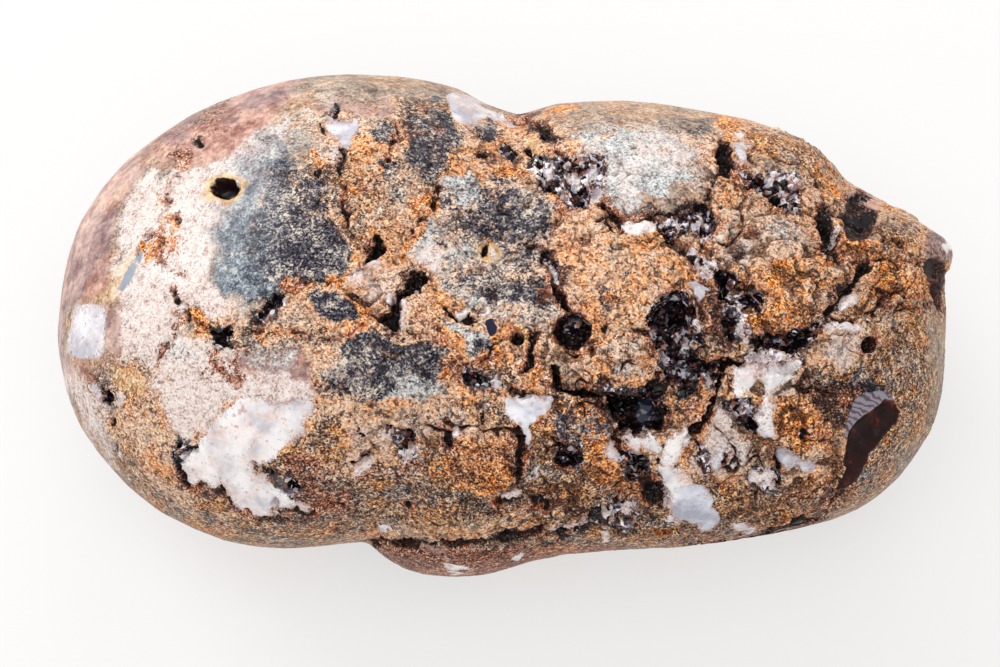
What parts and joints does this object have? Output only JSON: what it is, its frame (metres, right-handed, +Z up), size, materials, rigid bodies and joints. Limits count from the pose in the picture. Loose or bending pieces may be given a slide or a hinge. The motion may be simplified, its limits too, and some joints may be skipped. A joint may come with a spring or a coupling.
{
  "type": "polished sphalerite stone",
  "caption": "Rounded two-lobed tumbled mineral stone with open vugs, cracks and pale quartz patches, resting on a small flat spot.",
  "frame": {"origin": "middle of the footprint box on the plane that the stone rests on", "axes": "+X along the stone towards the end with the small spur, +Y to the back, +Z up"},
  "size_m": [0.04, 0.023, 0.017],
  "materials": {
    "stone": "polished, speckled ochre and dark grey with pale quartz patches and dark resinous vugs"
  },
  "bodies": {
    "root": {"sphalerite_stone": "stone"}
  },
  "joints": []
}
